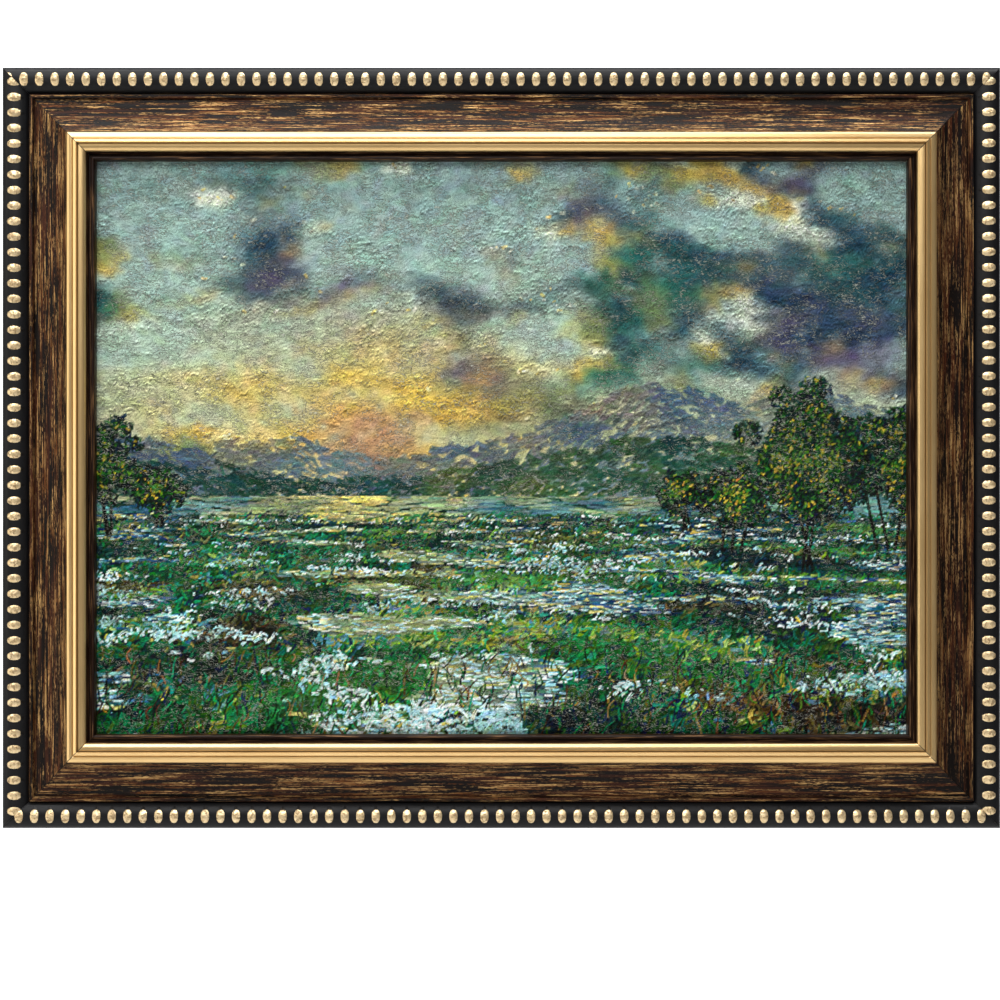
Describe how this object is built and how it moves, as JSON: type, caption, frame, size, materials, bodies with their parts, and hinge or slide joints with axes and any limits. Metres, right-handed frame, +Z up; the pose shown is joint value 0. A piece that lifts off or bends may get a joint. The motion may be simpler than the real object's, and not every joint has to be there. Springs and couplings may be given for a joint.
{
  "type": "framed oil painting",
  "caption": "Landscape-format painted board in a mitred picture frame with a beaded outer edge, hung by a sawtooth hanger at the back.",
  "frame": {"origin": "middle notch of the sawtooth hanger, where it bears on the wall's nail", "axes": "+X to the right along the painting's longer side, +Y into the wall, +Z up"},
  "size_m": [0.42, 0.0214, 0.32],
  "materials": {
    "frame_moulding": "wood moulding finished in black, streaked brown and rubbed gold",
    "board": "hardboard, bare and brown at the back",
    "oil_paint": "thick oil paint in strokes, satin varnish",
    "fixings": "zinc-plated steel"
  },
  "bodies": {
    "root": {"rail_top": "frame_moulding", "rail_bottom": "frame_moulding", "rail_left": "frame_moulding", "rail_right": "frame_moulding", "painted_board": "board", "point_top_1": "fixings", "point_top_2": "fixings", "point_bottom_1": "fixings", "point_bottom_2": "fixings", "point_left_1": "fixings", "point_left_2": "fixings", "point_right_1": "fixings", "point_right_2": "fixings", "sawtooth_hanger": "fixings", "hanger_nail_left": "fixings", "hanger_nail_right": "fixings"}
  },
  "joints": []
}
